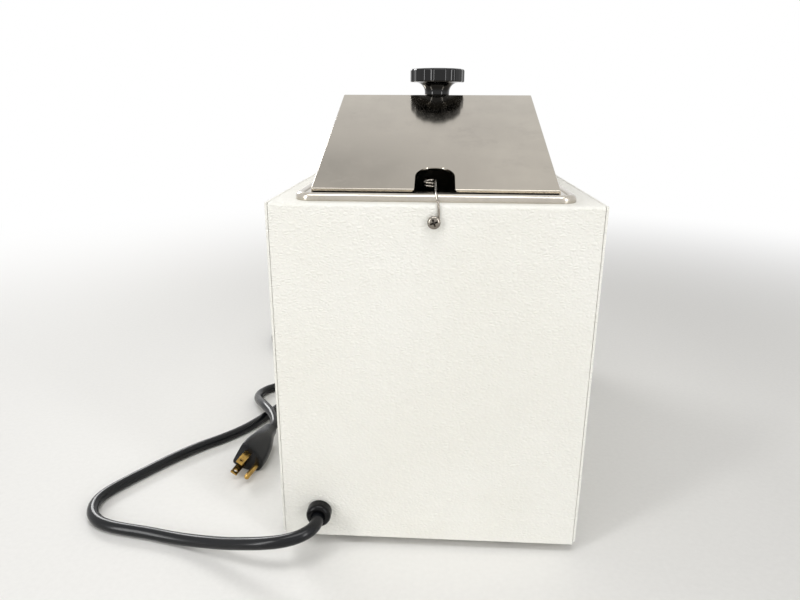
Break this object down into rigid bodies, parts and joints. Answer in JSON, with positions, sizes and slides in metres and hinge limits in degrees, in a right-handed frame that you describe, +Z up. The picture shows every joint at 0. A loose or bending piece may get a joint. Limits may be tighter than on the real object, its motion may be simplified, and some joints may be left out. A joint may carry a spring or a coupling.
{
  "type": "laboratory water bath",
  "caption": "Deep stainless tank in a tall off-white cabinet, with a gabled lift-off lid, fluted black lid knob, wire thermometer holder, dial thermostat, power rocker and mains cord.",
  "frame": {"origin": "on the table, at the middle of the instrument's footprint from the thermostat knob to the cord bushing, without the free cord", "axes": "+Z up, -Y towards the control panel, +Y towards the back where the cord leaves, +X to the right of someone who faces the control panel"},
  "size_m": [0.3829, 0.5194, 0.346],
  "materials": {
    "cabinet_paint": "fine leather grain, satin",
    "zinc": "zinc plated, dull",
    "stainless_tank": "drawn, satin",
    "stainless_lid": "cold rolled, nearly mirror bright",
    "spring_wire": "bright plated",
    "shaft_steel": "turned",
    "heater_mica": "mica sheet, matt",
    "insulation": "mineral wool, loose",
    "copper": "copper, dull",
    "brass": "stamped, bright",
    "foot_rubber": "matt black",
    "phenolic": "moulded, glossy black",
    "black_moulding": "moulded, half matt",
    "cord_rubber": "extruded jacket, soft sheen",
    "lamp_metal": "bright bezel",
    "lamp_amber": "clear amber",
    "plate_metal": "brushed, satin",
    "block_plastic": "moulded, cream",
    "wire_red": "insulated wire, red"
  },
  "bodies": {
    "cabinet": {"cabinet_wrap": "cabinet_paint", "side_panel_right": "cabinet_paint", "side_panel_left": "cabinet_paint", "base_plate": "zinc", "base_screws": "zinc", "feet": "foot_rubber", "foot_screws": "zinc", "foot_nuts": "zinc", "tank": "stainless_tank", "heating_element": "heater_mica", "pressing_plate": "zinc", "tank_studs": "zinc", "stud_nuts": "zinc", "insulation_bottom": "insulation", "insulation_sides": "insulation", "insulation_ends": "insulation", "heat_shield": "zinc", "thermostat_bulb": "copper", "bulb_clip": "zinc", "capillary": "copper", "limit_thermostat": "black_moulding", "thermostat_body": "black_moulding", "thermostat_nut": "zinc", "switch_housing": "black_moulding", "lamp_body": "lamp_metal", "lamp_lens": "lamp_amber", "control_plate": "plate_metal", "plate_screws": "zinc", "terminal_block": "block_plastic", "terminal_screws": "zinc", "earth_stud": "brass", "wiring": "wire_red", "inner_lead": "cord_rubber", "strain_relief": "black_moulding", "power_cord": "cord_rubber", "cord_coil": "cord_rubber", "plug_lead": "cord_rubber", "plug_body": "cord_rubber", "plug_blades": "brass", "ground_pin": "brass", "thermometer_holder": "spring_wire", "holder_screw": "spring_wire", "holder_nut": "zinc"},
    "lid": {"lid_shell": "stainless_lid", "lid_knob": "phenolic", "knob_screw": "zinc", "knob_washer": "zinc"},
    "shelf": {"diffuser_shelf": "stainless_tank"},
    "dial": {"thermostat_shaft": "shaft_steel", "thermostat_knob": "phenolic"},
    "rocker": {"power_rocker": "black_moulding"}
  },
  "joints": [
    {"name": "lid_lift", "type": "slide", "parent": "cabinet", "child": "lid", "axis": [0, 0, 1], "range_m": [0, 0.15]},
    {"name": "shelf_lift", "type": "slide", "parent": "cabinet", "child": "shelf", "axis": [0, 0, 1], "range_m": [0, 0.13]},
    {"name": "thermostat_turn", "type": "hinge", "parent": "cabinet", "child": "dial", "pos_m": [-0.046, -0.197, 0.05], "axis": [0, 1, 0], "range_deg": [0, 300]},
    {"name": "power_rocker_tilt", "type": "hinge", "parent": "cabinet", "child": "rocker", "pos_m": [0.054, -0.194, 0.05], "axis": [-1, 0, 0], "range_deg": [0, 22]}
  ]
}
